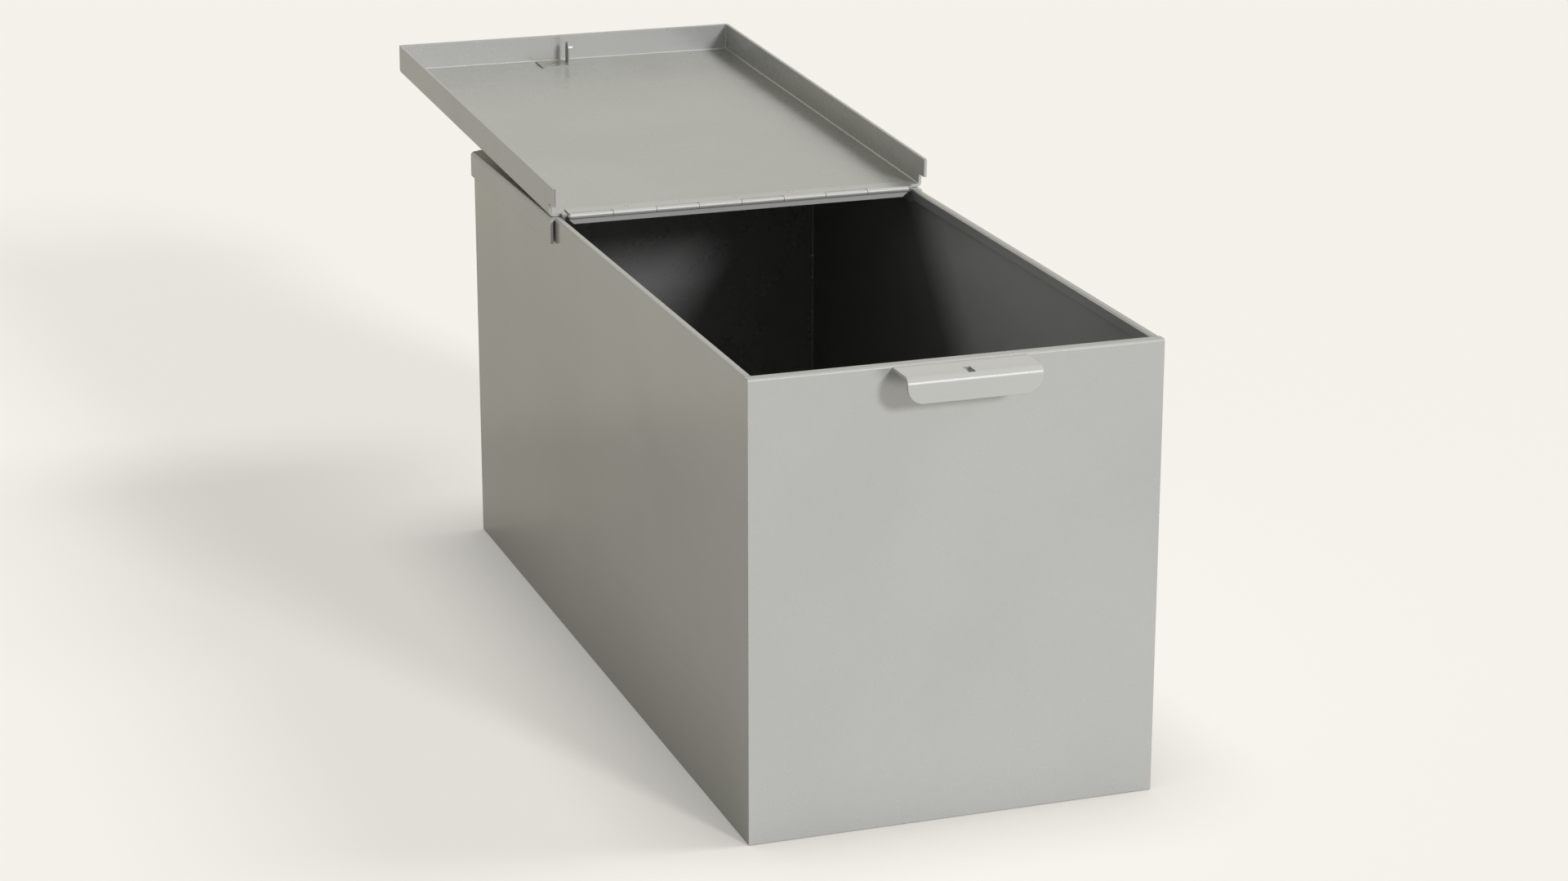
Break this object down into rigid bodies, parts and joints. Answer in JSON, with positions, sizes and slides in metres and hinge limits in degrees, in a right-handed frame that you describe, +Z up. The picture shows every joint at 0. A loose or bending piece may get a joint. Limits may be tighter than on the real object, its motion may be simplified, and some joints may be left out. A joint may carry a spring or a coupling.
{
  "type": "safe deposit box",
  "caption": "Long sheet-steel deposit tin with an open front top, a fixed rear cover, a hinged tray-shaped lid with a latch tab, and a slotted finger pull.",
  "frame": {"origin": "centre of the underside of the case", "axes": "+X to the right as seen from the finger pull, +Y from the finger pull to the rear, +Z up"},
  "size_m": [0.26, 0.8327, 0.3162],
  "materials": {
    "case_steel": "satin silver grey",
    "lid_steel": "satin silver grey",
    "hinge_steel": "satin",
    "pin_steel": "bright",
    "pull_steel": "satin silver grey, worn bright at its bend",
    "latch_steel": "satin",
    "rivet_steel": "satin"
  },
  "bodies": {
    "case": {"bottom_panel": "case_steel", "front_panel": "case_steel", "back_panel": "case_steel", "left_side_panel": "case_steel", "right_side_panel": "case_steel", "rear_cover": "case_steel", "cover_rivets": "rivet_steel", "cross_rail": "case_steel", "fixed_hinge_leaf": "hinge_steel", "hinge_pin": "pin_steel", "finger_pull": "pull_steel"},
    "lid": {"lid": "lid_steel", "lid_hinge_leaf": "hinge_steel", "latch_bracket": "latch_steel", "catch_pin": "pin_steel", "latch_rivets": "rivet_steel"}
  },
  "joints": [
    {"name": "lid_hinge", "type": "hinge", "parent": "case", "child": "lid", "pos_m": [0, 0.0885, 0.2816], "axis": [1, 0, 0], "range_deg": [0, 178]}
  ]
}
